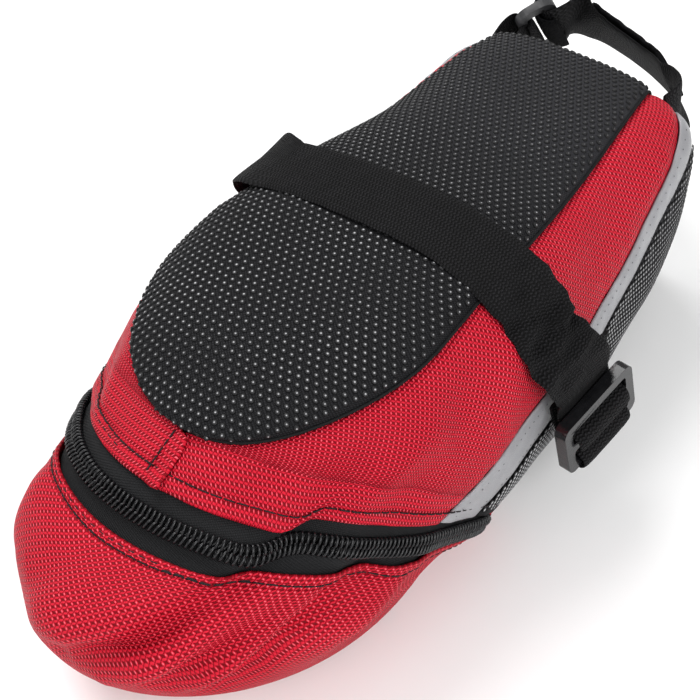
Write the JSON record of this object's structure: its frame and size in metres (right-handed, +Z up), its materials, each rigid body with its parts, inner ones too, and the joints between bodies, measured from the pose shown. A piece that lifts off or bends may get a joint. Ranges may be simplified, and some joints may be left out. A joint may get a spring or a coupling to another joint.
{
  "type": "bicycle saddle bag",
  "caption": "Padded wedge-shaped bag that hangs under a bicycle saddle, with a zipped tail flap, a saddle strap with a ladder-lock buckle and a hook-and-loop seat-post strap.",
  "frame": {"origin": "middle of the flat underside of the base, on the surface that the bag lies on", "axes": "+Z up, +Y along the bag towards the seat post, +X to the rider's right, the buckle's side"},
  "size_m": [0.1194, 0.2628, 0.0824],
  "materials": {
    "red_fabric": "coarse woven polyester, matt with fine glints",
    "coated_fabric": "coated cloth embossed with a basket weave, satin",
    "reflective_tape": "reflective fabric tape, satin",
    "webbing": "ribbed polyester webbing, matt",
    "plastic": "moulded acetal, glossy",
    "coil": "nylon coil, glossy",
    "foam": "thin closed-cell foam",
    "lining": "thin nylon lining, satin",
    "board": "thin plastic sheet",
    "metal": "die-cast zinc, black paint"
  },
  "bodies": {
    "bag": {"top_panel": "coated_fabric", "top_foam": "foam", "side_panel_left": "red_fabric", "side_panel_right": "red_fabric", "reflective_tape_left": "reflective_tape", "reflective_tape_right": "reflective_tape", "side_foam_left": "foam", "side_foam_right": "foam", "base_panel": "coated_fabric", "base_board": "board", "front_panel": "coated_fabric", "body_lining": "lining", "flap_hinge_panel": "red_fabric", "zip_tape_upper": "webbing", "zip_coil_upper": "coil", "zip_end_left": "webbing", "zip_end_right": "webbing", "saddle_strap": "webbing", "buckle_anchor": "webbing", "strap_tail": "webbing", "post_strap_base": "webbing", "post_strap_loop": "webbing", "post_ring_tab": "webbing"},
    "tail": {"tail_flap": "red_fabric", "flap_lining": "lining", "zip_tape_lower": "webbing", "zip_coil_lower": "coil"},
    "slider": {"zip_slider": "metal"},
    "puller": {"zip_puller": "metal"},
    "buckle": {"ladder_lock": "plastic"},
    "ring": {"post_strap_ring": "plastic"},
    "strap_end": {"post_strap_end": "webbing"}
  },
  "joints": [
    {"name": "tail_flap_open", "type": "hinge", "parent": "bag", "child": "tail", "pos_m": [0, -0.06, 0.0005], "axis": [1, 0, 0], "range_deg": [0, 70], "deforming": ["flap_hinge_panel"]},
    {"name": "zip_run", "type": "hinge", "parent": "bag", "child": "slider", "pos_m": [0.04684, -0.10418, 0.00498], "axis": [0.2521, 0.5711, 0.7812], "range_deg": [0, 37]},
    {"name": "puller_tilt", "type": "hinge", "parent": "slider", "child": "puller", "pos_m": [-0.05084, -0.08062, 0.0183], "axis": [0.0894, 0.5603, 0.8235], "range_deg": [0, 150]},
    {"name": "buckle_tilt", "type": "hinge", "parent": "bag", "child": "buckle", "pos_m": [0.05891, -0.04255, 0.02531], "axis": [0.1169, 0.9739, 0.1948], "range_deg": [0, 60], "deforming": ["saddle_strap", "buckle_anchor", "strap_tail"]},
    {"name": "ring_swing", "type": "hinge", "parent": "bag", "child": "ring", "pos_m": [-0.02872, 0.06531, 0.04777], "axis": [-0.0004, -0.5741, 0.8188], "range_deg": [-12, 25], "deforming": ["post_ring_tab", "post_strap_loop"]},
    {"name": "post_strap_peel", "type": "hinge", "parent": "ring", "child": "strap_end", "pos_m": [-0.02328, 0.07168, 0.05223], "axis": [-0.0004, -0.5741, 0.8188], "range_deg": [0, 90]}
  ]
}
